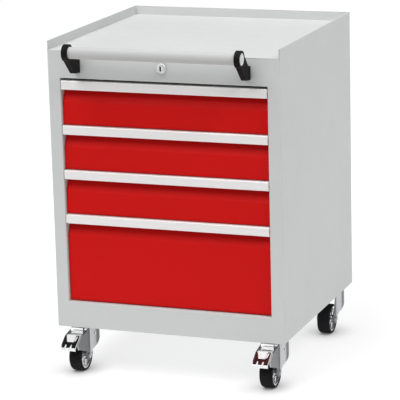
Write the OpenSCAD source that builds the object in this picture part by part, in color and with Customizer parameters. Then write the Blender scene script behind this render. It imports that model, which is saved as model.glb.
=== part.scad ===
// Mobile drawer cabinet: a folded sheet-steel housing with a rimmed top tray, four drawers on
// telescopic runners, a central lock, a push handle and four swivel casters, two with brakes.
// Every module works in the housing's own frame: x across from the middle, y back from the
// front plane and z up from the housing's bottom edge. in_row_frame() then moves it so that the
// origin lies on the floor, under the middle of the whole cabinet.

/* [Housing] */
// Width of the housing
body_w = 578; // [500:1:680]
// Depth of the housing, from its front plane to its back
body_d = 560; // [500:1:640]
// Height of the housing, from its bottom edge to the top of the rim
body_h = 700; // [640:1:780]
// Thickness of the housing's sheet steel
sheet = 1.5; // [1.2:0.1:2]
// Radius inside a fold of the sheet
fold_r = 1; // [0.6:0.1:2]
// Width of the post beside the drawers
post_w = 31; // [29:1:38]
// Depth of the post's return into the housing
reveal_d = 25; // [15:1:25]
// Height of the rim above the tray's floor
rim_h = 22; // [12:1:40]
// Height of the rail above the drawers
top_rail_h = 66; // [60:1:80]
// Height of the rail below the drawers
bottom_rail_h = 64; // [40:1:80]
// Width of the side panels' flange on the back
back_flange_w = 15; // [10:1:30]
// Thickness of the bottom panel
bottom_t = 2; // [1.5:0.1:3]
// Height of the bottom panel's flanges
bottom_flange_h = 20; // [10:1:35]

/* [Drawers] */
// Gap between two drawer fronts
front_gap = 1.5; // [1.5:0.5:5]
// Gap above the top drawer
top_gap = 6; // [3:0.5:10]
// Gap between a drawer front and the post
side_gap = 1.5; // [1:0.1:3]
// Height of the grip strip's lip
grip_h = 22; // [18:1:28]
// Thickness of the grip strip
grip_t = 2; // [1.5:0.1:2.5]
// Depth of the roll on the lip's lower edge
grip_roll = 6; // [5:0.5:8]
// Distance from the front plane back to the panel's face
panel_back = 9; // [8:0.5:16]
// Distance from the front plane back to the panel's upper edge
finger_d = 25; // [22:0.5:28]
// Height of the panel's slanted part under the grip
slant_h = 31; // [12:1:36]
// Thickness of the drawer front's sheet
front_t = 1.5; // [1.2:0.1:2]
// Thickness of the drawer box's sheet
box_t = 1.2; // [1:0.1:2]
// Height of the box of a small drawer
small_box_h = 75; // [72:1:78]
// Height of the box of the large drawer
large_box_h = 176; // [90:1:180]
// Height of the hem round the box's upper edge
box_hem = 8; // [6:0.5:10]
// Distance from a front's lower edge up to its box
box_lift = 8; // [4:0.5:10]
// Room between the boxes and the housing's back
back_room = 48; // [30:1:80]

/* [Runners] */
// Width of the space for a runner, box to upright
runner_t = 13; // [12.5:0.1:15]
// Height of a runner
runner_h = 45; // [36:1:46]
// Thickness of the runner's steel
runner_steel = 1.2; // [1:0.1:1.4]
// Play between two members of a runner
runner_play = 0.4; // [0.3:0.05:0.6]
// Distance from a front's lower edge up to the runner's middle
runner_lift = 38; // [32:0.5:40]
// Width of a runner upright
upright_w = 40; // [30:1:60]
// Width of the upright's welding lips
upright_lip = 14; // [8:1:14]
// Distance from the front swivel axes to the front uprights
upright_front = 2; // [2:1:12]
// Room between the rear casters' bolts and the rear uprights
upright_rear = 5; // [2:1:40]

/* [Handle] */
// Diameter of the handle tube
tube_d = 28; // [22:0.5:30]
// Wall of the handle tube
tube_wall = 2; // [1:0.1:3]
// Distance between the outer faces of the two brackets
handle_w = 437; // [300:1:440]
// Distance from the front plane to the tube's axis
handle_reach = 58; // [50:0.5:75]
// Height of the tube's axis above the tray's floor
handle_rise = 6; // [-2:0.5:10]
// Thickness of a bracket
bracket_t = 13; // [9:0.5:18]
// Wall of the bracket's ring round the tube
ring_wall = 6; // [4:0.5:8]
// Height of the bracket's foot on the rail
foot_h = 32; // [26:1:36]
// Distance from the tray's floor down to the foot
foot_drop = 19; // [16:1:24]
// Radius of the bracket bolts
handle_bolt_r = 3; // [2:0.5:3.5]

/* [Lock] */
// Radius of the lock's rose on the rail
lock_rose_r = 12; // [11:0.5:14]
// Thickness of the rose
lock_rose_t = 4; // [2:0.5:5]
// Distance that the lock's face stands in front of the rose
lock_nose = 3; // [1:0.5:4]
// Radius of the lock barrel
lock_barrel_r = 9.5; // [9:0.5:10.5]
// Radius of the turning plug
lock_plug_r = 6.5; // [6:0.5:7]
// Distance from the plug's axis to the pin on its cam
cam_throw = 12; // [11:0.5:13]
// Radius of the pins that drive the link and the bar
drive_pin_r = 2.5; // [2:0.25:3]
// Thickness of the cam, the link and the bar
lock_flat_t = 2; // [1.5:0.1:2.5]
// Height of the link
link_h = 18; // [16:1:20]
// Width of the locking bar
bar_w = 16; // [14:1:16]
// Height of a hook on the bar
hook_h = 10; // [8:1:10]

/* [Casters] */
// Height from the floor to the housing's bottom edge
caster_h = 116; // [114:1:130]
// Diameter of a wheel
wheel_d = 75; // [70:1:76]
// Width of a wheel
wheel_w = 33; // [26:1:33]
// Radius of the wheel's rim
rim_r = 32; // [29:0.5:32]
// Distance from the swivel axis forward to the axle
trail = 34; // [34:1:38]
// Distance from the housing's side to the swivel axis
caster_side = 45; // [44:1:70]
// Distance from the front plane to the front swivel axis
caster_front = 61; // [60:1:90]
// Distance from the back to the rear swivel axis
caster_rear = 43; // [43:1:90]
// Side of the square top plate
plate_w = 84; // [80:1:84]
// Thickness of the top plate
plate_t = 3; // [2:0.5:4]
// Distance between two bolts of the top plate
plate_bolts = 62; // [60:0.5:66]
// Radius of the caster bolts
caster_bolt_r = 4; // [3:0.5:4.5]
// Radius of the hood at the back of the fork
hood_r = 34; // [33:0.5:35]
// Thickness of the fork's steel
fork_t = 2.5; // [2:0.1:2.5]
// Radius of the axle
axle_r = 4; // [3:0.5:5]
// Radius of the kingpin
kingpin_r = 6; // [5:0.5:8]

/* [Brakes] */
// Width of the brake pedal
pedal_w = 38; // [30:1:38]
// Distance from the swivel axis forward to the pedal's tread
tread_near = 75; // [68:1:80]
// Distance from the swivel axis forward to the pedal's lower edge
tread_far = 108; // [98:1:116]
// Distance from the housing's bottom down to the tread's upper edge
tread_top = 19; // [18:0.5:22]
// Distance from the housing's bottom down to the tread's lower edge
tread_low = 41.5; // [36:0.5:50]
// Thickness of the pedal's steel
pedal_t = 2.5; // [2:0.1:3]
// Gap between the brake shoe and the tyre with the pedal up
shoe_gap = 3.2; // [3:0.1:4]

/* [Hidden] */
$fn = 64;
fold_steps = 4;
cut = 1;
fit_gap = 0.05;
loose_gap = 0.3;

// The frame of the whole cabinet
ring_r = tube_d / 2 + ring_wall;
front_y = -(body_d - handle_reach - ring_r) / 2;

// The housing's levels
half_w = body_w / 2;
tray_z = body_h - rim_h;
opening_w = body_w - 2 * post_w;
opening_top = tray_z - top_rail_h;
opening_h = opening_top - bottom_rail_h;
back_y = body_d - sheet;
fold_mid = fold_r + sheet / 2;

// The drawers, from the top: three small ones and a large one of twice the height
small_front_h = (opening_h - top_gap - 4 * front_gap) / 5;
front_half_w = opening_w / 2 - side_gap;
box_half_w = opening_w / 2 - runner_t;
box_y = finger_d + front_t / 2;
box_d = back_y - back_room - box_y;
function front_h(i) = i < 3 ? small_front_h : 2 * small_front_h;
function box_h(i) = i < 3 ? small_box_h : large_box_h;
function front_z(i) = i < 3 ? opening_top - top_gap - (i + 1) * small_front_h - i * front_gap
                            : bottom_rail_h + front_gap;

// The lock's parts, from the front to the back
lock_z = opening_top + top_rail_h / 2;
plug_end = 24;
cam_reach = 5;
link_y = plug_end + lock_flat_t + cam_reach / 2 - lock_flat_t / 2;
pin_play = 0.6;
cam_x = cam_throw * sin(45);
lock_travel = 2 * cam_x;
link_low = lock_z + 1;
bar_x = opening_w / 2 + 5.25;
bar_y = link_y + lock_flat_t + 2;
bar_pin_z = lock_z + 10;
hook_y = bar_y + 6;
hook_t = 6;
hook_reach = 12;
catch_t = 4;
catch_h = 13;
catch_lift = runner_lift + runner_h / 2 + 5.5;
hook_lift = catch_lift + catch_h + 2;
guide_wall = 2;

// The casters, from the housing's bottom down
axle_z = wheel_d / 2 - caster_h;
bowl_r = 30;
bowl_h = 6;
crown_play = 0.4;
crown_top = -plate_t - bowl_h - crown_play;
kingpin_head_r = 10;
kingpin_head_t = 5;
cheek_in = wheel_w / 2 + 3;
cheek_out = cheek_in + fork_t;
eye_r = 11;
hood_low = -26;
knee = [-tread_near, -tread_top];
toe = [-tread_far, -tread_low];
caster_x = half_w - caster_side;
bolt_nut_r = 1.75 * caster_bolt_r;
bolt_reach = plate_bolts / sqrt(2) + bolt_nut_r;
pivot = [-14, -27];
pivot_r = 3;
barrel_r = 5.5;
function caster_y(rear) = rear ? body_d - caster_rear : caster_front;

steel_grey = [0.76, 0.77, 0.77];
tray_grey = [0.87, 0.87, 0.87];
red = [0.75, 0.1, 0.1];
light_alloy = [0.87, 0.86, 0.86];
zinc = [0.7, 0.71, 0.72];
chrome = [0.8, 0.81, 0.83];
black = [0.1, 0.1, 0.1];
rubber = [0.08, 0.08, 0.08];

// Folded sheet: a band of even thickness along a path, with a round fold at each inner point
function unit(v) = v / norm(v);
function left_of(d) = [-d[1], d[0]];
function turned(v, a) = [v[0] * cos(a) - v[1] * sin(a), v[0] * sin(a) + v[1] * cos(a)];
function fold_points(p, q, s, off, r) =
  let (d1 = unit(q - p), d2 = unit(s - q))
  let (side = sign(d1[0] * d2[1] - d1[1] * d2[0]), bend = acos(d1 * d2))
  let (middle = q - r * tan(bend / 2) * d1 + side * r * left_of(d1))
  let (arm = -side * (r - side * off) * left_of(d1))
  [for (k = [0:fold_steps]) middle + turned(arm, side * bend * k / fold_steps)];
function band_edge(path, off, r) =
  let (last = len(path) - 1)
  concat([path[0] + off * left_of(unit(path[1] - path[0]))],
    [for (i = [1:1:last - 1]) each fold_points(path[i - 1], path[i], path[i + 1], off, r)],
    [path[last] + off * left_of(unit(path[last] - path[last - 1]))]);
function reversed(list) = [for (i = [len(list) - 1:-1:0]) list[i]];
module folded(path, t, r)
  polygon(concat(band_edge(path, t / 2, r), reversed(band_edge(path, -t / 2, r))));
function arc(c, r, a0, a1) =
  [for (k = [0:fold_steps]) let (a = a0 + (a1 - a0) * k / fold_steps) c + r * [cos(a), sin(a)]];

// Ways to lay a profile or a rod in the housing's frame
module in_row_frame() translate([0, front_y, caster_h]) children();
module profile_along_x(length) rotate([90, 0, 90]) linear_extrude(length, center = true) children();
module profile_along_y(y0, y1) translate([0, y1, 0]) rotate([90, 0, 0]) linear_extrude(y1 - y0) children();
module profile_along_z(z0, z1) translate([0, 0, z0]) linear_extrude(z1 - z0) children();
module rod_along_x(p, r, length) translate(p) rotate([0, 90, 0]) cylinder(r = r, h = length, center = true);
module rod_along_y(p, r, length) translate(p) rotate([-90, 0, 0]) cylinder(r = r, h = length);
module block(low, high) translate(low) cube(high - low);
module both_sides() {
  children();
  mirror([1, 0, 0]) children();
}

// Housing
// Right side panel in plan: post return, post, side and back flange, each stretch of which
// runs to its own height
module right_panel() {
  mid = sheet / 2;
  post_in = [opening_w / 2 + mid, reveal_d];
  post_corner = [opening_w / 2 + mid, mid];
  front_corner = [half_w - mid, mid];
  rear_corner = [half_w - mid, body_d - mid];
  flange_end = [half_w - back_flange_w, body_d - mid];
  post_end = [opening_w / 2, mid];
  rim_start = [half_w - mid, fold_mid + mid];
  profile_along_z(0, bottom_rail_h)
    folded([post_end, front_corner, rear_corner, flange_end], sheet, fold_mid);
  profile_along_z(bottom_rail_h, opening_top)
    folded([post_in, post_corner, front_corner, rear_corner, flange_end], sheet, fold_mid);
  profile_along_z(opening_top, tray_z - sheet)
    folded([post_end, front_corner, rear_corner, flange_end], sheet, fold_mid);
  profile_along_z(tray_z - sheet, body_h) folded([rim_start, rear_corner, flange_end], sheet, fold_mid);
}
module left_side_panel() color(steel_grey) in_row_frame() mirror([1, 0, 0]) right_panel();
module right_side_panel() color(steel_grey) in_row_frame() right_panel();
module rear_panel() color(steel_grey) in_row_frame()
  block([sheet + fold_r - half_w, back_y - sheet, 0], [half_w - sheet - fold_r, back_y, body_h]);
module top_tray() color(tray_grey) in_row_frame() {
  wall_x = half_w - 1.5 * sheet;
  floor_z = tray_z - sheet / 2;
  profile_along_y(0, back_y - sheet)
    folded([[-wall_x, body_h], [-wall_x, floor_z], [wall_x, floor_z], [wall_x, body_h]], sheet, fold_mid);
  block([-wall_x, back_y - 2 * sheet, tray_z - sheet], [wall_x, back_y - sheet, body_h]);
}
module front_top_rail() color(steel_grey) in_row_frame() {
  mid = sheet / 2;
  top = tray_z - sheet - mid;
  low = opening_top + mid;
  difference() {
    profile_along_x(opening_w)
      folded([[reveal_d, top], [mid, top], [mid, low], [reveal_d, low]], sheet, fold_mid);
    rod_along_y([0, -cut, lock_z], lock_barrel_r + fit_gap, sheet + 2 * cut);
    both_sides() for (z = bolt_heights)
      rod_along_y([bracket_x, -cut, z], handle_bolt_r + fit_gap, sheet + 2 * cut);
  }
}
module front_bottom_rail() color(steel_grey) in_row_frame() {
  mid = sheet / 2;
  profile_along_x(opening_w)
    folded([[reveal_d, bottom_rail_h - mid], [mid, bottom_rail_h - mid], [mid, 0]], sheet, fold_mid);
}
module bottom_panel() color(steel_grey) in_row_frame() difference() {
  front = sheet + fold_r;
  block([sheet - half_w, front, 0], [half_w - sheet, back_y - sheet, bottom_flange_h]);
  block([sheet + bottom_t - half_w, front + bottom_t, bottom_t],
    [half_w - sheet - bottom_t, back_y - sheet - bottom_t, bottom_flange_h + cut]);
  at_casters() at_plate_bolts() translate([0, 0, -cut])
    cylinder(r = caster_bolt_r + fit_gap, h = bottom_t + 2 * cut);
}

// Runners: hat-shaped uprights on the sides, and three nested channels for each side of a drawer
front_upright_y = caster_front + upright_front;
rear_upright_y = body_d - caster_rear - plate_bolts / 2 - bolt_nut_r - upright_rear - upright_w;
module upright(y) {
  wall_x = half_w - 1.5 * sheet;
  web_x = opening_w / 2 + sheet / 2;
  profile_along_z(bottom_t, tray_z - sheet) folded([[wall_x, y - upright_lip], [wall_x, y], [web_x, y],
    [web_x, y + upright_w], [wall_x, y + upright_w], [wall_x, y + upright_w + upright_lip]], sheet, fold_mid);
}
module runner_uprights() color(zinc) in_row_frame() difference() {
  both_sides() for (y = [front_upright_y, rear_upright_y]) upright(y);
  bottom_room = bottom_flange_h + loose_gap;
  both_sides() block([half_w - sheet - bottom_t - loose_gap, 0, 0], [half_w, body_d, bottom_room]);
}
// One channel of a runner: its web, its open edge and half its height
module channel(web_x, edge_x, half_h) {
  in_x = web_x + sign(edge_x - web_x) * runner_steel;
  in_h = half_h - runner_steel;
  polygon([[web_x, -half_h], [web_x, half_h], [edge_x, half_h], [edge_x, in_h],
    [in_x, in_h], [in_x, -in_h], [edge_x, -in_h], [edge_x, -half_h]]);
}
outer_half = runner_h / 2;
middle_half = outer_half - runner_steel - runner_play;
inner_half = middle_half - runner_steel - runner_play;
middle_web = opening_w / 2 - runner_steel - runner_play;
inner_edge = middle_web - runner_steel - runner_play;
open_edge = box_half_w + runner_steel + runner_play;
module runner_member(i) both_sides() translate([0, 0, front_z(i) + runner_lift])
  profile_along_y(box_y, box_y + box_d) children();
module cabinet_rails() color(zinc) in_row_frame()
  for (i = [0:3]) runner_member(i) channel(opening_w / 2, open_edge, outer_half);
module drawer_middle_rails(i) color(zinc) in_row_frame()
  runner_member(i) channel(middle_web, open_edge, middle_half);
module drawer_rails(i) color(zinc) in_row_frame()
  runner_member(i) channel(box_half_w, inner_edge, inner_half);

// Drawers
// Front panel: upright under the grip, then slanting forward to the face, with a return below
module drawer_front(i) color(red) in_row_frame() {
  mid = front_t / 2;
  face_y = panel_back + mid;
  low = front_z(i) + mid;
  top = front_z(i) + front_h(i);
  profile_along_x(2 * front_half_w) folded([[finger_d, top - grip_t], [finger_d, top - grip_h],
    [face_y, top - grip_h - slant_h], [face_y, low], [finger_d + mid + box_t, low]], front_t, fold_mid);
}
// Grip strip: a lip in the front plane with a rolled lower edge, a web and a leg on the panel
module drawer_grip(i) color(light_alloy) in_row_frame() {
  mid = grip_t / 2;
  top = front_z(i) + front_h(i);
  leg_y = finger_d - front_t / 2;
  profile_along_x(2 * front_half_w) folded([[grip_roll - mid, top - grip_h + grip_roll - mid],
    [grip_roll - mid, top - grip_h + mid], [mid, top - grip_h + mid], [mid, top - mid],
    [finger_d + front_t / 2, top - mid]], grip_t, grip_t / 2 + fold_r);
  block([-front_half_w, leg_y - grip_t, top - grip_h / 2], [front_half_w, leg_y, top - mid]);
}
// Box: an open pan with a hemmed edge, whose front wall reaches up behind the panel's upper
// edge, with the catch for the locking bar on its right side
module drawer_box(i) color(tray_grey) in_row_frame() {
  low = front_z(i) + box_lift;
  rim = low + box_h(i);
  hem_t = 2 * box_t;
  difference() {
    block([-box_half_w, box_y, low], [box_half_w, box_y + box_d, rim]);
    block([box_t - box_half_w, box_y + box_t, low + box_t],
      [box_half_w - box_t, box_y + box_d - box_t, rim - box_hem]);
    block([hem_t - box_half_w, box_y + box_t, rim - box_hem - cut],
      [box_half_w - hem_t, box_y + box_d - hem_t, rim + cut]);
  }
  wall_top = front_z(i) + front_h(i) - grip_t - 2;
  block([-box_half_w, box_y, low], [box_half_w, box_y + box_t, wall_top]);
  catch_y = hook_y + hook_t + 2;
  block([box_half_w - box_t, catch_y, front_z(i) + catch_lift],
    [opening_w / 2 - 2, catch_y + catch_t, front_z(i) + catch_lift + catch_h]);
}

// Handle
bracket_x = (handle_w - bracket_t) / 2;
tube_z = tray_z + handle_rise;
foot_z = tray_z - foot_drop - foot_h;
bolt_heights = [foot_z + foot_h / 4, foot_z + 3 * foot_h / 4];
bolt_depth = 10;
bolt_head_r = 1.8 * handle_bolt_r;
plug_flange = 1.5;
module handle_tube() color(light_alloy) in_row_frame() {
  length = handle_w - 2 * plug_flange;
  difference() {
    rod_along_x([0, -handle_reach, tube_z], tube_d / 2, length);
    rod_along_x([0, -handle_reach, tube_z], tube_d / 2 - tube_wall, length + 2 * cut);
  }
}
// Bracket: a ring round the tube on an arm that widens to a foot on the rail
module right_bracket() translate([bracket_x, 0, 0]) difference() {
  toe = handle_reach / 2;
  heel = 13;
  inside = 0.9 * ring_r;
  union() {
    rod_along_x([0, -handle_reach, tube_z], ring_r, bracket_t);
    profile_along_x(bracket_t) polygon([[0, foot_z], [0, foot_z + foot_h], [-heel, foot_z + foot_h + 1],
      [inside * cos(25) - handle_reach, tube_z + inside * sin(25)],
      [-inside * cos(32) - handle_reach, tube_z - inside * sin(32)], [-toe, foot_z + 3]]);
  }
  rod_along_x([0, -handle_reach, tube_z], tube_d / 2 + fit_gap, bracket_t + 2 * cut);
  for (z = bolt_heights) rod_along_y([0, -bolt_depth, z], handle_bolt_r + fit_gap, bolt_depth + cut);
}
module handle_bracket_left() color(black) in_row_frame() mirror([1, 0, 0]) right_bracket();
module handle_bracket_right() color(black) in_row_frame() right_bracket();
module handle_end_plugs() color(light_alloy) in_row_frame() both_sides() {
  stem = 12;
  rod_along_x([handle_w / 2 - plug_flange / 2, -handle_reach, tube_z], tube_d / 2, plug_flange);
  rod_along_x([handle_w / 2 - stem / 2, -handle_reach, tube_z], tube_d / 2 - tube_wall - fit_gap, stem);
}
module handle_bolts() color(zinc) in_row_frame() both_sides() for (z = bolt_heights) {
  rod_along_y([bracket_x, 0.5 - bolt_depth, z], handle_bolt_r, bolt_depth + sheet);
  rod_along_y([bracket_x, sheet, z], bolt_head_r, handle_bolt_r);
}

// Central lock: a quarter turn of the plug pushes the link to the right, and a sloping slot in
// the link's end draws the bar down, so that its hooks stand in front of the drawers' catches
nut_r = lock_barrel_r + 4;
nut_t = 4;
module lock_barrel() color(chrome) in_row_frame() translate([0, 0, lock_z]) {
  barrel_end = plug_end - 2;
  bevel = lock_rose_t / 2;
  difference() {
    union() {
      rotate([90, 0, 0]) rotate_extrude() polygon([[0, 0], [lock_rose_r, 0], [lock_rose_r, bevel],
        [lock_rose_r - bevel, lock_rose_t], [0, lock_rose_t]]);
      rod_along_y([0, -lock_rose_t - lock_nose, 0], lock_barrel_r, lock_rose_t + lock_nose + barrel_end);
    }
    rod_along_y([0, -lock_rose_t - lock_nose - cut, 0], lock_plug_r + fit_gap, plug_end + 3 * cut + 8);
  }
  difference() {
    translate([0, sheet, 0]) rotate([-90, 0, 0]) cylinder(r = nut_r, h = nut_t, $fn = 6);
    rod_along_y([0, 0, 0], lock_barrel_r + fit_gap, sheet + nut_t + cut);
  }
}
module lock_plug() color(light_alloy) in_row_frame() translate([0, 0, lock_z]) difference() {
  face = lock_rose_t + lock_nose + 0.5;
  slot_w = 2;
  slot_h = 8;
  slot_d = 10;
  union() {
    rod_along_y([0, -face, 0], lock_plug_r, face + plug_end);
    rod_along_y([0, 0, 0], lock_plug_r - 2.5, plug_end + lock_flat_t);
  }
  block([-slot_w / 2, -face - cut, -slot_h / 2], [slot_w / 2, slot_d - face, slot_h / 2]);
}
// Cam: at rest its pin stands 45 degrees to the left of upright
module lock_cam() color(zinc) in_row_frame() translate([0, plug_end, lock_z]) rotate([0, -45, 0]) {
  eye = lock_plug_r + 1.5;
  difference() {
    union() {
      rod_along_y([0, 0, 0], eye, lock_flat_t);
      block([-drive_pin_r - 1, 0, 0], [drive_pin_r + 1, lock_flat_t, cam_throw]);
      rod_along_y([0, 0, cam_throw], drive_pin_r + 1.5, lock_flat_t);
      rod_along_y([0, 0, cam_throw], drive_pin_r, lock_flat_t + cam_reach);
    }
    rod_along_y([0, -cut, 0], lock_plug_r - 2.5 + fit_gap, lock_flat_t + 2 * cut);
  }
}
// A square-ended slot for a pin that runs between two points of the plane behind the rail
module slot(p, q, r) translate([p[0], link_y - cut, p[1]])
  rotate([0, -atan2(q[1] - p[1], q[0] - p[0]), 0])
    block([-r, 0, -r], [norm(q - p) + r, lock_flat_t + 2 * cut, r]);
module lock_link() color(zinc) in_row_frame() {
  slot_r = drive_pin_r + pin_play;
  edge = slot_r + 3;
  low_pin = lock_z + cam_throw * cos(45);
  top_pin = lock_z + cam_throw;
  difference() {
    union() {
      block([-cam_x - edge - 4, link_y, link_low], [bar_x + edge, link_y + lock_flat_t, link_low + link_h]);
      block([bar_x - lock_travel - edge, link_y, bar_pin_z - lock_travel - edge],
        [bar_x + edge, link_y + lock_flat_t, link_low + link_h]);
    }
    slot([-cam_x, low_pin], [-cam_x, top_pin], slot_r);
    slot([bar_x - lock_travel, bar_pin_z - lock_travel], [bar_x, bar_pin_z], slot_r);
  }
}
module lock_bar() color(zinc) in_row_frame() {
  half_t = lock_flat_t / 2;
  top = bar_pin_z + drive_pin_r + 2;
  low = front_z(3) + hook_lift - 12;
  block([bar_x - half_t, bar_y, low], [bar_x + half_t, bar_y + bar_w, top]);
  block([bar_x - drive_pin_r, bar_y, bar_pin_z - drive_pin_r - 2], [bar_x + drive_pin_r, bar_y + 5, top]);
  rod_along_y([bar_x, link_y - 1, bar_pin_z], drive_pin_r, bar_y - link_y + 2);
  for (i = [0:3]) block([bar_x - half_t - hook_reach, hook_y, front_z(i) + hook_lift],
    [bar_x, hook_y + hook_t, front_z(i) + hook_lift + hook_h]);
}
module lock_guides() color(zinc) in_row_frame() {
  guide_h = 12;
  front_face = front_upright_y - sheet / 2;
  slot_x = lock_flat_t / 2 + loose_gap;
  for (z = [front_z(0) + hook_lift + hook_h + 9, front_z(3) + hook_lift + hook_h + 20]) difference() {
    block([bar_x - slot_x - guide_wall + 0.8, bar_y - loose_gap - guide_wall, z],
      [bar_x + slot_x + guide_wall, front_face, z + guide_h]);
    block([bar_x - slot_x, bar_y - loose_gap, z - cut],
      [bar_x + slot_x, bar_y + bar_w + loose_gap, z + guide_h + cut]);
  }
  for (x = [70, bracket_x - 30]) difference() {
    block([x, sheet, link_low - 2 * guide_wall], [x + guide_h, link_y + lock_flat_t + loose_gap + guide_wall,
      link_low + link_h + 2 * guide_wall]);
    block([x - cut, link_y - loose_gap, link_low - loose_gap],
      [x + guide_h + cut, link_y + lock_flat_t + loose_gap, link_low + link_h + loose_gap]);
  }
}

// Casters, each about its own swivel axis at the housing's bottom
module at_caster(right, rear) translate([right ? caster_x : -caster_x, caster_y(rear), 0]) children();
module at_casters() for (right = [false, true], rear = [false, true]) at_caster(right, rear) children();
module at_plate_bolts() for (x = [-1, 1], y = [-1, 1])
  translate([x * plate_bolts / 2, y * plate_bolts / 2, 0]) children();
// Top plate with the bowl of the ball race and the kingpin, which is riveted over below
module top_plate() {
  head_top = crown_top - fork_t - crown_play;
  difference() {
    union() {
      block([-plate_w / 2, -plate_w / 2, -plate_t], [plate_w / 2, plate_w / 2, 0]);
      rotate_extrude() polygon([[0, -plate_t], [bowl_r, -plate_t], [bowl_r, 2 - plate_t - bowl_h],
        [bowl_r - 3, -plate_t - bowl_h], [kingpin_r, -plate_t - bowl_h], [kingpin_r, head_top],
        [kingpin_head_r, head_top], [kingpin_head_r - 2, head_top - kingpin_head_t],
        [0, head_top - kingpin_head_t]]);
    }
    at_plate_bolts() translate([0, 0, -plate_t - cut])
      cylinder(r = caster_bolt_r + fit_gap, h = plate_t + 2 * cut);
  }
}
module caster_top_plates() color(chrome) in_row_frame() at_casters() top_plate();
module caster_bolts() color(zinc) in_row_frame() at_casters() at_plate_bolts() {
  head_t = 5;
  tail = bottom_t + head_t + 2;
  translate([0, 0, -plate_t - head_t]) cylinder(r = bolt_nut_r, h = head_t, $fn = 6);
  translate([0, 0, -plate_t - head_t / 2]) cylinder(r = caster_bolt_r, h = plate_t + head_t / 2 + tail);
  translate([0, 0, bottom_t]) difference() {
    cylinder(r = bolt_nut_r, h = head_t, $fn = 6);
    translate([0, 0, -cut]) cylinder(r = caster_bolt_r + fit_gap, h = head_t + 2 * cut);
  }
}
// Fork in plan: a round hood about the swivel axis, with two cheeks forward beside the wheel.
// A braked fork has wider cheeks, between which the pedal moves, and a nose: an upright plate in
// front of the bolts' heads
module fork_plan(inset) {
  half = cheek_out - inset;
  cylinder(r = hood_r - inset, h = caster_h);
  block([-half, -tread_far, 0], [half, 0, caster_h]);
}
module fork_nose() {
  nose_half = 16;
  back = -bolt_reach - 0.7;
  block([-nose_half, back, crown_top - fork_t], [nose_half, 8 - hood_r, crown_top]);
  block([-nose_half, back - fork_t, 0.5 - tread_top], [nose_half, back, -plate_t - 1.5]);
}
module fork(braked) {
  front_top = hood_r - 8;
  eye_in = 0.92 * eye_r;
  brake_edge = [[-13 - trail, axle_z + 15], toe + [14, -6], knee + 0.72 * (toe - knee), knee];
  wide = 2 * hood_r + 2 * cut;
  difference() {
    union() {
      intersection() {
        translate([0, 0, -caster_h]) difference() {
          fork_plan(0);
          translate([0, 0, -cut]) fork_plan(fork_t);
        }
        union() {
          profile_along_x(wide) polygon(concat([[-front_top, crown_top], [hood_r + cut, crown_top],
            [hood_r + cut, hood_low], [14 - trail, axle_z + 14.5],
            [eye_in / 2 - trail, axle_z - eye_in * cos(30)], [-eye_in - trail, axle_z]],
            braked ? brake_edge : [[-front_top - 6, hood_low - 4]]));
          rod_along_x([0, -trail, axle_z], eye_r, wide);
        }
      }
      translate([0, 0, crown_top - fork_t]) cylinder(r = hood_r, h = fork_t);
      if (braked) fork_nose();
    }
    translate([0, 0, crown_top - fork_t - cut]) cylinder(r = kingpin_r + fit_gap, h = fork_t + 2 * cut);
    rod_along_x([0, -trail, axle_z], axle_r + fit_gap, wide);
    if (braked) rod_along_x([0, pivot[0], pivot[1]], pivot_r + fit_gap, wide);
  }
}
module caster_fork(right, rear) color(chrome) in_row_frame() at_caster(right, rear) fork(!rear);
module caster_axle(right, rear) color(zinc) in_row_frame() at_caster(right, rear)
  translate([0, -trail, axle_z]) {
    head_r = 1.75 * axle_r;
    head_t = 4;
    rod_along_x([0, 0, 0], axle_r, 2 * (cheek_out + head_t) + 2);
    both_sides() translate([cheek_out, 0, 0]) rotate([0, 90, 0]) cylinder(r = head_r, h = head_t, $fn = 6);
  }
// Hub: a rim, a web with five ribs on each face, and a boss on the axle
module caster_hub(right, rear) color(light_alloy) in_row_frame() at_caster(right, rear)
  translate([0, -trail, axle_z]) rotate([0, 90, 0]) {
    boss_r = 10;
    boss = cheek_in - loose_gap;
    rim = wheel_w / 2 - 1.5;
    rim_in = rim_r - 4;
    web = 3;
    rib = 6;
    bore = axle_r + fit_gap;
    rotate_extrude() polygon([[bore, -boss], [boss_r, -boss], [boss_r, -web], [rim_in, -web], [rim_in, -rim],
      [rim_r - fit_gap, -rim], [rim_r - fit_gap, rim], [rim_in, rim], [rim_in, web], [boss_r, web],
      [boss_r, boss], [bore, boss]]);
    for (k = [0:4]) rotate(72 * k) block([boss_r - 1, -rib / 2, 3 - rim], [rim_in + 1, rib / 2, rim - 3]);
  }
module caster_tyre(right, rear) color(rubber) in_row_frame() at_caster(right, rear)
  translate([0, -trail, axle_z]) rotate([0, 90, 0]) {
    shoulder = 4.5;
    out = wheel_d / 2 - shoulder;
    side = wheel_w / 2 - shoulder;
    rotate_extrude() polygon(concat([[rim_r, -wheel_w / 2], [rim_r, wheel_w / 2]],
      arc([out, side], shoulder, 90, 0), arc([out, -side], shoulder, 0, -90)));
  }
// Brake pedal: a tread on an arm that turns on a pin in the fork, with a shoe over the tyre
module caster_pedal(right) color(chrome) in_row_frame() at_caster(right, false) {
  arm_dir = unit(knee - pivot);
  arm_half = cheek_in - 2;
  shoe_half = wheel_w / 2 - 4;
  shoe_from = -trail - 8;
  shoe_to = -trail + 7;
  tread_w = min(pedal_w, 2 * cheek_in - 1);
  lip = toe + [1, -5];
  difference() {
    union() {
      profile_along_x(2 * arm_half) folded([pivot, knee], pedal_t, pedal_t);
      profile_along_x(tread_w) folded([knee - 8 * arm_dir, knee, toe, lip], pedal_t, pedal_t);
      rod_along_x([0, pivot[0], pivot[1]], barrel_r, 2 * arm_half);
      rod_along_x([0, pivot[0], pivot[1]], pivot_r, 2 * hood_r - 4);
      block([-shoe_half, shoe_from, axle_z + wheel_d / 2 - 10], [shoe_half, shoe_to, pivot[1] + 3]);
    }
    rod_along_x([0, -trail, axle_z], wheel_d / 2 + shoe_gap, wheel_w);
  }
}

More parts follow.
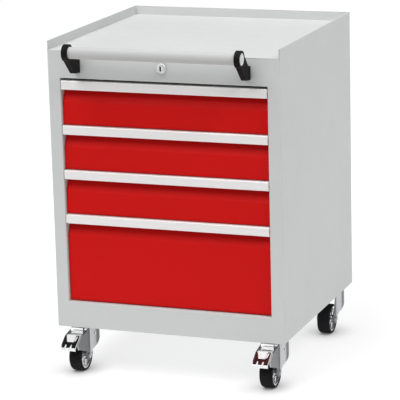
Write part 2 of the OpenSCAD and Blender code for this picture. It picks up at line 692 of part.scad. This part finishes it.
left_side_panel();
right_side_panel();
rear_panel();
top_tray();
front_top_rail();
front_bottom_rail();
bottom_panel();
runner_uprights();
cabinet_rails();
drawer_front(0);  // drawer_1_front
drawer_grip(0);  // drawer_1_grip
drawer_box(0);  // drawer_1_box
drawer_rails(0);  // drawer_1_rails
drawer_middle_rails(0);  // drawer_1_middle_rails
drawer_front(1);  // drawer_2_front
drawer_grip(1);  // drawer_2_grip
drawer_box(1);  // drawer_2_box
drawer_rails(1);  // drawer_2_rails
drawer_middle_rails(1);  // drawer_2_middle_rails
drawer_front(2);  // drawer_3_front
drawer_grip(2);  // drawer_3_grip
drawer_box(2);  // drawer_3_box
drawer_rails(2);  // drawer_3_rails
drawer_middle_rails(2);  // drawer_3_middle_rails
drawer_front(3);  // drawer_4_front
drawer_grip(3);  // drawer_4_grip
drawer_box(3);  // drawer_4_box
drawer_rails(3);  // drawer_4_rails
drawer_middle_rails(3);  // drawer_4_middle_rails
handle_tube();
handle_bracket_left();
handle_bracket_right();
handle_end_plugs();
handle_bolts();
lock_barrel();
lock_plug();
lock_cam();
lock_link();
lock_bar();
lock_guides();
caster_top_plates();
caster_bolts();
caster_fork(false, false);  // front_left_fork
caster_axle(false, false);  // front_left_axle
caster_hub(false, false);  // front_left_hub
caster_tyre(false, false);  // front_left_tyre
caster_pedal(false);  // front_left_pedal
caster_fork(true, false);  // front_right_fork
caster_axle(true, false);  // front_right_axle
caster_hub(true, false);  // front_right_hub
caster_tyre(true, false);  // front_right_tyre
caster_pedal(true);  // front_right_pedal
caster_fork(false, true);  // rear_left_fork
caster_axle(false, true);  // rear_left_axle
caster_hub(false, true);  // rear_left_hub
caster_tyre(false, true);  // rear_left_tyre
caster_fork(true, true);  // rear_right_fork
caster_axle(true, true);  // rear_right_axle
caster_hub(true, true);  // rear_right_hub
caster_tyre(true, true);  // rear_right_tyre
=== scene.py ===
"""Looks of the mobile drawer cabinet: finishes, small pieces, floor, light and camera.

Everything is in metres, in the cabinet's own frame: x across, y from front to back, z up from
the floor. Each section makes one kind of thing.
"""

import math

import bmesh
import bpy
from mathutils import Matrix, Vector


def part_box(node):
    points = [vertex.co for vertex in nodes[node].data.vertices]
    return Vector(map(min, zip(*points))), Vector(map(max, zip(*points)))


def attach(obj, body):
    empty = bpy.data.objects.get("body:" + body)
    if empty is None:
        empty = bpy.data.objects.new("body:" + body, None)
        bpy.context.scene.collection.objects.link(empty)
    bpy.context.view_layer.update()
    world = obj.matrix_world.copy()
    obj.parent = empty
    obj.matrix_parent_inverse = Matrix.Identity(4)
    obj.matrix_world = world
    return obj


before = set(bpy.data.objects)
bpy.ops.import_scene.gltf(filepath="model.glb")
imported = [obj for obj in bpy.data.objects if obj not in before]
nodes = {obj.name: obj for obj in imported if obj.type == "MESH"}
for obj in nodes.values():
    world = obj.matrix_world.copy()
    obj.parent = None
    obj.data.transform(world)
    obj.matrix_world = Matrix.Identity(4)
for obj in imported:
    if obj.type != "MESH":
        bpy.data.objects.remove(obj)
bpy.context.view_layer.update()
scene = bpy.context.scene

MM = 0.001

# Node materials

# The values of a noise between which a finish goes from one end to the other
NOISE_LOW, NOISE_HIGH = 0.3, 0.7


def new_material(name, colour, **values):
    """A material whose shader has these plain values, set on its own sockets."""
    material = bpy.data.materials.new(name)
    material.use_nodes = True
    shader = material.node_tree.nodes["Principled BSDF"]
    shader.inputs["Base Color"].default_value = (*colour, 1.0)
    for socket, value in values.items():
        shader.inputs[socket.replace("_", " ")].default_value = value
    return material


def add_node(material, kind, **values):
    """A node with these plain values on its sockets."""
    node = material.node_tree.nodes.new(kind)
    for socket, value in values.items():
        node.inputs[socket.replace("_", " ")].default_value = value
    return node


def link(material, source, target):
    material.node_tree.links.new(source, target)


def shader_input(material, name):
    return material.node_tree.nodes["Principled BSDF"].inputs[name]


def space(material, stretch=(1.0, 1.0, 1.0)):
    """The piece's own coordinates in metres, stretched along some axes."""
    coordinates = add_node(material, "ShaderNodeTexCoord")
    mapping = add_node(material, "ShaderNodeMapping", Scale=stretch)
    link(material, coordinates.outputs["Object"], mapping.inputs["Vector"])
    return mapping.outputs["Vector"]


def noise(material, vector, scale, detail=2.0):
    node = add_node(material, "ShaderNodeTexNoise", Scale=scale, Detail=detail)
    link(material, vector, node.inputs["Vector"])
    return node.outputs["Fac"]


def cells(material, vector, scale):
    node = add_node(material, "ShaderNodeTexVoronoi", Scale=scale)
    link(material, vector, node.inputs["Vector"])
    return node.outputs["Color"]


def multiply(material, first, second):
    node = add_node(material, "ShaderNodeMath")
    node.operation = "MULTIPLY"
    link(material, first, node.inputs[0])
    link(material, second, node.inputs[1])
    return node.outputs["Value"]


def set_tint(material, factor, low, high, start=NOISE_LOW, end=NOISE_HIGH):
    """Base colour that goes from low to high with the factor."""
    ramp = add_node(material, "ShaderNodeValToRGB")
    first, last = ramp.color_ramp.elements
    first.position, last.position = start, end
    first.color, last.color = (*low, 1.0), (*high, 1.0)
    link(material, factor, ramp.inputs["Fac"])
    link(material, ramp.outputs["Color"], shader_input(material, "Base Color"))


def set_drift(material, factor, colour, darkest, lightest, start=NOISE_LOW, end=NOISE_HIGH):
    """Base colour that drifts between two shares of one colour."""
    low = tuple(channel * darkest for channel in colour)
    high = tuple(channel * lightest for channel in colour)
    set_tint(material, factor, low, high, start, end)


def set_roughness(material, factor, low, high):
    spread = add_node(
        material,
        "ShaderNodeMapRange",
        From_Min=NOISE_LOW,
        From_Max=NOISE_HIGH,
        To_Min=low,
        To_Max=high,
    )
    link(material, factor, spread.inputs["Value"])
    link(material, spread.outputs["Result"], shader_input(material, "Roughness"))


def set_bump(material, height, depth):
    bump = add_node(material, "ShaderNodeBump", Distance=depth, Strength=1.0)
    link(material, height, bump.inputs["Height"])
    link(material, bump.outputs["Normal"], shader_input(material, "Normal"))


def powder_coat(name, colour, gloss, peel=1.5 * MM, depth=0.012 * MM):
    """Baked powder paint: a fine orange peel, with a little drift in tone and gloss."""
    material = new_material(name, colour, Specular_IOR_Level=gloss)
    place = space(material)
    drift = noise(material, place, scale=6.0, detail=3.0)
    set_drift(material, drift, colour, darkest=0.985, lightest=1.015)
    patches = noise(material, place, scale=40.0, detail=4.0)
    set_roughness(material, patches, low=0.40, high=0.50)
    set_bump(material, noise(material, place, scale=1.0 / peel, detail=1.0), depth)
    return material


def brushed_metal(
    name, colour, rough, metallic=1.0, gloss=0.5, line=0.4 * MM, depth=0.006 * MM, along=0.012
):
    """Metal that was brushed along x; a thick anodised layer makes it less of a mirror."""
    material = new_material(
        name, colour, Metallic=metallic, Anisotropic=0.4, Specular_IOR_Level=gloss
    )
    place = space(material, stretch=(along, 1.0, 1.0))
    lines = noise(material, place, scale=1.0 / line, detail=3.0)
    set_drift(material, lines, colour, darkest=0.95, lightest=1.03)
    set_roughness(material, lines, low=rough - 0.06, high=rough + 0.08)
    set_bump(material, lines, depth)
    return material


def plated_metal(name, colour, rough, patch=12.0 * MM, depth=0.01 * MM, metallic=1.0):
    """Bright plating over pressed steel, with faint ripples from the press."""
    material = new_material(name, colour, Metallic=metallic)
    place = space(material)
    ripple = noise(material, place, scale=1.0 / patch, detail=3.0)
    set_drift(material, ripple, colour, darkest=0.93, lightest=1.05)
    haze = noise(material, place, scale=900.0, detail=2.0)
    set_roughness(material, haze, low=rough, high=rough + 0.1)
    set_bump(material, ripple, depth)
    return material


def plating_with_painted_reflection(name, bright, dark, rough):
    """Caster plating with painted reflection: light on faces turned front and back, dark on the
    sides.
    """
    material = plated_metal(name, bright, rough)
    surface = add_node(material, "ShaderNodeTexCoord")
    split = add_node(material, "ShaderNodeSeparateXYZ")
    size = add_node(material, "ShaderNodeMath")
    size.operation = "ABSOLUTE"
    link(material, surface.outputs["Normal"], split.inputs["Vector"])
    link(material, split.outputs["Y"], size.inputs[0])
    set_tint(material, size.outputs["Value"], dark, bright, start=0.22, end=0.42)
    return material


def spangled_zinc(name, colour, spangle=4.0 * MM):
    """Galvanised sheet: crystals that differ a little in tone."""
    material = new_material(name, colour, Metallic=1.0)
    place = space(material)
    crystals = cells(material, place, scale=1.0 / spangle)
    set_drift(material, crystals, colour, darkest=0.88, lightest=1.08, start=0.1, end=0.9)
    set_roughness(material, noise(material, place, scale=200.0), low=0.34, high=0.46)
    return material


def grained_plastic(name, colour, rough, grain=0.8 * MM, depth=0.05 * MM, gloss=0.4):
    """Moulded plastic with a spark-eroded grain."""
    material = new_material(name, colour, Specular_IOR_Level=gloss)
    place = space(material)
    speckle = noise(material, place, scale=1.0 / grain)
    patches = noise(material, place, scale=25.0, detail=3.0)
    set_drift(material, patches, colour, darkest=0.85, lightest=1.15)
    set_roughness(material, speckle, low=rough - 0.06, high=rough + 0.08)
    set_bump(material, speckle, depth)
    return material


def rubber(name, colour, dusty, depth=0.04 * MM):
    """Solid rubber: dull, finely pitted, with a little dust."""
    material = new_material(name, colour, Specular_IOR_Level=0.15)
    place = space(material)
    dust = noise(material, place, scale=60.0, detail=4.0)
    set_tint(material, dust, colour, dusty, start=0.45, end=0.75)
    pits = noise(material, place, scale=1400.0)
    set_roughness(material, pits, low=0.55, high=0.75)
    set_bump(material, pits, depth)
    return material


# Finishes of the CAD nodes, by the record's material slots

GREY = (0.63, 0.645, 0.64)
BOX_GREY = (0.6, 0.61, 0.61)
RED = (0.62, 0.0092, 0.0083)
STRIP_ALLOY = (0.90, 0.885, 0.88)
TUBE_ALLOY = (0.55, 0.555, 0.55)
ZINC = (0.62, 0.63, 0.65)
CHROME = (0.80, 0.81, 0.82)
HUB_ALLOY = (0.88, 0.88, 0.89)
BLACK = (0.0045, 0.0045, 0.005)
PLUG_GREY = (0.78, 0.78, 0.77)
RUBBER_BLACK = (0.005, 0.005, 0.0055)
RUBBER_DUST = (0.010, 0.010, 0.010)

finishes = {
    "housing_paint": powder_coat("housing_paint", GREY, gloss=0.2),
    "tray_paint": powder_coat("tray_paint", GREY, gloss=0.2),
    "red_paint": powder_coat("red_paint", RED, gloss=0.05),
    "box_paint": powder_coat("box_paint", BOX_GREY, gloss=0.2),
    "grip_alloy": brushed_metal("grip_alloy", STRIP_ALLOY, rough=0.36, metallic=0.12),
    "tube_alloy": brushed_metal("tube_alloy", TUBE_ALLOY, rough=0.55, metallic=0.0, gloss=0.1),
    "zinc_steel": spangled_zinc("zinc_steel", ZINC),
    "chrome": plated_metal("chrome", CHROME, rough=0.10),
    "hub_alloy": plated_metal("hub_alloy", HUB_ALLOY, rough=0.14, patch=5.0 * MM),
    "black_plastic": grained_plastic("black_plastic", BLACK, rough=0.55, gloss=0.12),
    "plug_plastic": grained_plastic("plug_plastic", PLUG_GREY, rough=0.45, depth=0.02 * MM),
    "tyre": rubber("tyre", RUBBER_BLACK, RUBBER_DUST),
}

# Finishes of single nodes, faces and small pieces
# The casters' plating, with painted reflection: lighter or darker by the way each face is turned
caster_chrome_painted_reflection = plating_with_painted_reflection(
    "caster_chrome_painted_reflection", bright=(0.52, 0.53, 0.54), dark=(0.17, 0.175, 0.18), rough=0.25
)
# A lighter copy of the caster plating: painted light inside the forks
chrome_painted_light = plated_metal("chrome_painted_light", (0.93, 0.935, 0.94), rough=0.08)
# Satin nickel for the lock, tabs and lugs, and as painted highlight on the pedals' front and upper
# faces
satin_nickel_and_painted_highlight = plated_metal("satin_nickel_and_painted_highlight", (0.94, 0.945, 0.945), rough=0.22, metallic=0.3)
# A dark copy of the plating: painted shade on the casters' hoods and round the lock's barrel
chrome_painted_shade = plated_metal("chrome_painted_shade", (0.12, 0.125, 0.13), rough=0.22)
pad_black = grained_plastic("pad_black", (0.003, 0.003, 0.003), rough=0.5, gloss=0.15)
pad_red = grained_plastic("pad_red", (0.045, 0.004, 0.005), rough=0.5, gloss=0.15)


def finish_nodes():
    for name, node in nodes.items():
        slot = node.data.materials[0].name.split(".")[0]
        finish = finishes[slot]
        # Forks and pedals take the caster plating with its painted reflection
        if name.endswith(("_fork", "_pedal")):
            finish = caster_chrome_painted_reflection
        elif name in ("lock_barrel", "lock_plug"):
            finish = satin_nickel_and_painted_highlight
        node.data.materials[0] = finish


def finish_faces(name, material, chosen):
    """Gives some faces of a solid a finish of their own."""
    mesh = nodes[name].data
    mesh.materials.append(material)
    for face in mesh.polygons:
        if chosen(face):
            face.material_index = len(mesh.materials) - 1


def middle_of(name):
    """The middle of a CAD node's box."""
    low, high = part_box(name)
    return (low + high) / 2


# From a caster's middle to the inner faces of its cheeks, with a margin, and to its hood's sides
CHEEK_IN = 19.5 * MM
CHEEK_MARGIN = 0.2 * MM
HOOD_SIDE = 25.0 * MM

# Parts of a face's normal along an axis: more than TURNED if the face is turned that way, between
# ROUND_FROM and ROUND_TO on a rounded stretch, and less than RIM_TURNED round the lock's barrel
TURNED = 0.3
ROUND_FROM, ROUND_TO = 0.2, 0.97
RIM_TURNED = 0.5


def finish_front_caster(name):
    """Painted light and shade: lighter chrome in the fork, dark on hood back and left front edge,
    satin tread.
    """
    middle = middle_of(name + "_tyre").x
    cheek = CHEEK_IN + CHEEK_MARGIN

    def inside(face):
        return abs(face.center.x - middle) < cheek

    def hood_back(face):
        return abs(face.center.x - middle) > cheek and ROUND_FROM < face.normal.y < ROUND_TO

    def left_front_edge(face):
        left = face.center.x - middle < -CHEEK_IN
        return left and face.normal.y < -TURNED and face.normal.z > TURNED

    def faces_painted_highlight(face):
        return face.normal.y < -TURNED or face.normal.z > TURNED

    def pin_end(face):
        return abs(face.center.x - middle) > HOOD_SIDE

    # Painted light inside the fork, painted shade on the hood's back and on the left front edge
    finish_faces(name + "_fork", chrome_painted_light, inside)
    finish_faces(name + "_fork", chrome_painted_shade, lambda face: hood_back(face) or left_front_edge(face))
    # Painted highlight: the pedal's faces turned to the front or up get the brighter satin finish
    finish_faces(name + "_pedal", satin_nickel_and_painted_highlight, faces_painted_highlight)
    finish_faces(name + "_pedal", finishes["hub_alloy"], pin_end)


finish_nodes()
finish_front_caster("front_left")
finish_front_caster("front_right")
# Painted shade: the side walls round the lock's barrel are dark
finish_faces("lock_barrel", chrome_painted_shade, lambda face: abs(face.normal.y) < RIM_TURNED)

# Small pieces that the solids leave out


def make_piece(name, mesh_maker, material, body):
    """A new piece from a bmesh, with its finish, riding on a body."""
    mesh = bpy.data.meshes.new(name)
    shape = bmesh.new()
    mesh_maker(shape)
    bmesh.ops.recalc_face_normals(shape, faces=shape.faces)
    shape.to_mesh(mesh)
    shape.free()
    mesh.materials.append(material)
    piece = bpy.data.objects.new(name, mesh)
    scene.collection.objects.link(piece)
    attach(piece, body)


def rounded(corners, radius, steps=4):
    """The outline of a polygon, counterclockwise, with round corners."""
    outline = []
    for i, corner in enumerate(corners):
        here = Vector(corner)
        back = (Vector(corners[i - 1]) - here).normalized()
        ahead = (Vector(corners[(i + 1) % len(corners)]) - here).normalized()
        half = back.angle(ahead) / 2
        start = here + back * radius / math.tan(half)
        end = here + ahead * radius / math.tan(half)
        for k in range(steps + 1):
            t = k / steps
            outline.append((1 - t) ** 2 * start + 2 * t * (1 - t) * here + t * t * end)
    return outline


def add_plate(shape, corners, foot, top, place, radius=0.0):
    """A plate from its foot to its top, with round corners; its sizes are in millimetres."""
    outline = [(u * MM, v * MM) for u, v in corners]
    if radius > 0:
        outline = rounded(outline, radius * MM)
    under = [shape.verts.new(place @ Vector((u, v, foot * MM))) for u, v in outline]
    over = [shape.verts.new(place @ Vector((u, v, top * MM))) for u, v in outline]
    shape.faces.new(under[::-1])
    shape.faces.new(over)
    for i in range(len(outline)):
        j = (i + 1) % len(outline)
        shape.faces.new((under[i], under[j], over[j], over[i]))


def rectangle(left, right, near, far):
    return [(left, near), (right, near), (right, far), (left, far)]


# The tread of a brake pedal: its upper and lower edges, and half its plate's thickness
TREAD_TOP = Vector((0.0, -255.0, 97.0)) * MM
TREAD_LOW = Vector((0.0, -288.0, 74.5)) * MM
TREAD_HALF_T = 1.25 * MM

# What lies on a tread, in millimetres: to the right of its middle, down from its upper edge, and
# in height over its plate. SUNK_FOOT is the foot of what stands in the pad
PAD = rectangle(-18.9, 17.3, 0.5, 38.0)
PAD_RADIUS = 1.0
PAD_T = 1.2
RIB_LEFTS = (-15.5, -12.0, -4.5, -1.0, 2.5, 9.5, 13.0)
RIB_W = 1.6
RIB_NEAR, RIB_FAR = 24.0, 37.0
RIB_TOP = 1.8
SUNK_FOOT = 1.0
TAB = [(-16.0, 0.0), (9.5, 0.0), (8.5, 21.5), (-8.5, 21.5)]
TAB_RADIUS = 2.0
TAB_TOP = 2.6
HOOK = [(10.8, 5.0), (14.6, 3.0), (12.2, 17.5), (9.2, 19.0)]
HOOK_RADIUS = 0.8
HOOK_TOP = 2.0
LUG_MIDDLES = (-8.0, 6.0)
LUG_NEAR, LUG_FAR = 30.0, 39.5
LUG_NEAR_HALF, LUG_FAR_HALF = 1.2, 2.4
LUG_RADIUS = 0.8
LUG_FOOT, LUG_TOP = 0.8, 2.2


def tread_place(middle):
    """From the tread's own directions (right, down the tread, off it) to the cabinet's."""
    down = (TREAD_LOW - TREAD_TOP).normalized()
    right = Vector((1.0, 0.0, 0.0))
    off = down.cross(right)
    place = Matrix((right, down, off)).transposed().to_4x4()
    place.translation = TREAD_TOP + Vector((middle, 0.0, 0.0)) + off * TREAD_HALF_T
    return place


def make_pedal_pieces(name, pad_finish):
    """Tread pad with its ribs, the release tab over it and two lugs at the lower edge."""
    place = tread_place(middle_of(name + "_tyre").x)
    body = name + "_pedal"

    def pad(shape):
        add_plate(shape, PAD, 0.0, PAD_T, place, PAD_RADIUS)
        for left in RIB_LEFTS:
            rib = rectangle(left, left + RIB_W, RIB_NEAR, RIB_FAR)
            add_plate(shape, rib, SUNK_FOOT, RIB_TOP, place)

    def tab(shape):
        add_plate(shape, TAB, SUNK_FOOT, TAB_TOP, place, TAB_RADIUS)
        add_plate(shape, HOOK, SUNK_FOOT, HOOK_TOP, place, HOOK_RADIUS)

    def lugs(shape):
        for middle in LUG_MIDDLES:
            lug = [
                (middle - LUG_NEAR_HALF, LUG_NEAR),
                (middle + LUG_NEAR_HALF, LUG_NEAR),
                (middle + LUG_FAR_HALF, LUG_FAR),
                (middle - LUG_FAR_HALF, LUG_FAR),
            ]
            add_plate(shape, lug, LUG_FOOT, LUG_TOP, place, LUG_RADIUS)

    make_piece(name + "_pad", pad, pad_finish, body)
    make_piece(name + "_tab", tab, satin_nickel_and_painted_highlight, body)
    make_piece(name + "_lugs", lugs, satin_nickel_and_painted_highlight, body)


# A dark plate on the lock plug's front, in millimetres: painted shade for the dark inside of the
# key slot
KEYWAY_SHADE = rectangle(-1.9, 1.9, -6.0, 6.0)
KEYWAY_SHADE_RADIUS = 1.7
KEYWAY_SHADE_PROUD = 0.2


def make_painted_keyway_shade():
    """A dark plate round the key slot, a little proud of the plug: painted shade for the keyway."""
    place = Matrix(((1.0, 0.0, 0.0), (0.0, 0.0, -1.0), (0.0, 1.0, 0.0))).to_4x4()
    lowest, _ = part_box("lock_plug")
    middle = middle_of("lock_barrel")
    place.translation = (middle.x, lowest.y, middle.z)

    def keyway_shade(shape):
        add_plate(shape, KEYWAY_SHADE, -KEYWAY_SHADE_PROUD, KEYWAY_SHADE_PROUD, place, KEYWAY_SHADE_RADIUS)

    make_piece("painted_keyway_shade", keyway_shade, pad_black, "lock_plug")


make_pedal_pieces("front_left", pad_black)
make_pedal_pieces("front_right", pad_red)
make_painted_keyway_shade()

# Floor: it glows a little, so that it stays pale under the cabinet

FLOOR_SIDE = 120.0
FLOOR_WHITE = (0.45, 0.45, 0.45)
# The glow near the cabinet and away from it, and the distances between which it changes
GLOW_NEAR, GLOW_FAR = 0.64, 0.81
GLOW_START, GLOW_END = 0.4, 1.4
# The share of the glow that is left in front, and where it fades in that direction
GLOW_FRONT = 0.33
GLOW_AHEAD = (0.353, -0.936, 0.0)
FADE_START, FADE_END = 0.40, 1.2
# How close something has to stand over the floor to take its glow away, which paints contact shade
SHADE_REACH = 0.06
SHADE_SAMPLES = 16


def floor_glow(material):
    """Glow: less near the cabinet and in front of it, none where a wheel stands: a painted contact
    shadow.
    """
    place = space(material)
    distance = add_node(material, "ShaderNodeVectorMath")
    distance.operation = "LENGTH"
    link(material, place, distance.inputs[0])
    glow = add_node(
        material,
        "ShaderNodeMapRange",
        From_Min=GLOW_START,
        From_Max=GLOW_END,
        To_Min=GLOW_NEAR,
        To_Max=GLOW_FAR,
    )
    link(material, distance.outputs["Value"], glow.inputs["Value"])
    ahead = add_node(material, "ShaderNodeVectorMath")
    ahead.operation = "DOT_PRODUCT"
    ahead.inputs[1].default_value = GLOW_AHEAD
    link(material, place, ahead.inputs[0])
    front = add_node(
        material,
        "ShaderNodeMapRange",
        From_Min=FADE_START,
        From_Max=FADE_END,
        To_Min=1.0,
        To_Max=GLOW_FRONT,
    )
    front.interpolation_type = "SMOOTHSTEP"
    link(material, ahead.outputs["Value"], front.inputs["Value"])
    # Painted contact shadow: the glow is taken away where something stands close over the floor
    painted_contact_shade = add_node(material, "ShaderNodeAmbientOcclusion", Distance=SHADE_REACH)
    painted_contact_shade.samples = SHADE_SAMPLES
    lit = multiply(material, glow.outputs["Result"], front.outputs["Result"])
    return multiply(material, lit, painted_contact_shade.outputs["AO"])


def make_floor():
    mesh = bpy.data.meshes.new("floor")
    half = FLOOR_SIDE / 2
    corners = [(-half, -half, 0), (half, -half, 0), (half, half, 0), (-half, half, 0)]
    mesh.from_pydata(corners, [], [(0, 1, 2, 3)])
    material = new_material("floor_white", FLOOR_WHITE, Roughness=0.9, Specular_IOR_Level=0.0)
    shader_input(material, "Emission Color").default_value = (1.0, 1.0, 1.0, 1.0)
    link(material, floor_glow(material), shader_input(material, "Emission Strength"))
    clouds = noise(material, space(material), scale=3.0)
    set_drift(material, clouds, FLOOR_WHITE, darkest=0.99, lightest=1.01)
    mesh.materials.append(material)
    floor = bpy.data.objects.new("floor", mesh)
    scene.collection.objects.link(floor)


# Light


def make_sky(horizon, zenith):
    """Soft light from all round, brighter overhead."""
    world = bpy.data.worlds.new("studio")
    scene.world = world
    world.use_nodes = True
    tree = world.node_tree
    background = tree.nodes["Background"]
    coordinates = tree.nodes.new("ShaderNodeTexCoord")
    split = tree.nodes.new("ShaderNodeSeparateXYZ")
    ramp = tree.nodes.new("ShaderNodeValToRGB")
    first, last = ramp.color_ramp.elements
    first.position, last.position = 0.0, 1.0
    first.color = (horizon, horizon, horizon, 1.0)
    last.color = (zenith, zenith, zenith, 1.0)
    tree.links.new(coordinates.outputs["Generated"], split.inputs["Vector"])
    tree.links.new(split.outputs["Z"], ramp.inputs["Fac"])
    tree.links.new(ramp.outputs["Color"], background.inputs["Color"])


def make_lamp(name, place, target, width, power):
    """A round soft lamp that looks at its target."""
    data = bpy.data.lights.new(name, "AREA")
    data.shape = "DISK"
    data.size = width
    data.energy = power
    lamp = bpy.data.objects.new(name, data)
    lamp.location = place
    lamp.rotation_euler = (Vector(target) - Vector(place)).to_track_quat("-Z", "Y").to_euler()
    scene.collection.objects.link(lamp)


make_floor()
make_sky(horizon=0.15, zenith=0.52)
make_lamp("key", place=(-1.1, -2.9, 4.4), target=(0.0, -0.24, 0.45), width=3.0, power=119.0)
make_lamp("fill", place=(2.4, -0.9, 3.3), target=(0.1, 0.0, 0.45), width=1.2, power=38.0)
make_lamp("top", place=(0.0, 0.3, 2.4), target=(0.0, 0.1, 0.0), width=1.6, power=11.0)

# Camera, at the photograph's view

VIEW_AZIMUTH = math.radians(20.659)
VIEW_ELEVATION = math.radians(13.603)
VIEW_ROLL = math.radians(-1.4867)
VIEW_PLACE = (1.85103, -4.91893, 1.66227)
VIEW_END = 200.0
LENS = 198.149
SENSOR = 36.0


def make_camera():
    """From the front, a little to the right and above."""
    side, rise, roll = VIEW_AZIMUTH, VIEW_ELEVATION, VIEW_ROLL
    flat = math.cos(rise)
    back = Vector((math.sin(side) * flat, -math.cos(side) * flat, math.sin(rise)))
    right = Vector((math.cos(side), math.sin(side), 0.0))
    up = back.cross(right)
    turned_right = math.cos(roll) * right + math.sin(roll) * up
    turned_up = math.cos(roll) * up - math.sin(roll) * right
    data = bpy.data.cameras.new("camera")
    data.sensor_width = SENSOR
    data.lens = LENS
    data.clip_end = VIEW_END
    camera = bpy.data.objects.new("camera", data)
    matrix = Matrix((turned_right, turned_up, back)).transposed().to_4x4()
    matrix.translation = VIEW_PLACE
    camera.matrix_world = matrix
    scene.collection.objects.link(camera)
    scene.camera = camera


make_camera()
scene.view_settings.view_transform = "Standard"
